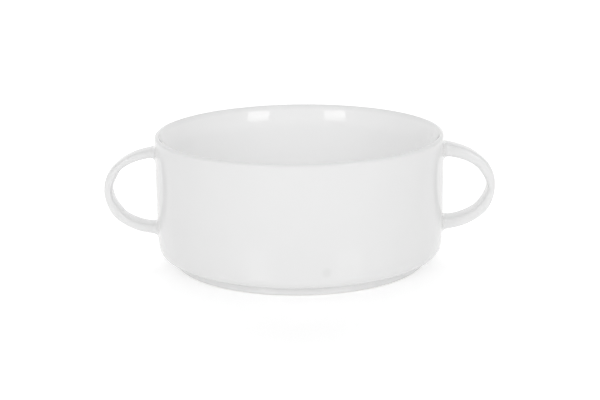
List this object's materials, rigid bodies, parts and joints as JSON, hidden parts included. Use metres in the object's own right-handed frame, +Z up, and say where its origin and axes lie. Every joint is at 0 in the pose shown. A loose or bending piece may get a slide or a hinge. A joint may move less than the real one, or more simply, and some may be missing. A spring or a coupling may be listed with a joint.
{
  "type": "bouillon cup",
  "caption": "Low round porcelain soup cup with an upright wall, a softened lip, a narrow foot ring and a loop handle on each side.",
  "frame": {"origin": "middle of the foot ring's underside, on the table", "axes": "+Z up along the bowl's axis, +X through both handles, +Y to the back"},
  "size_m": [0.1442, 0.106, 0.048],
  "materials": {
    "glazed_porcelain": "glossy clear glaze over white porcelain, bare on the foot ring's rest"
  },
  "bodies": {
    "root": {"bouillon_cup": "glazed_porcelain"}
  },
  "joints": []
}
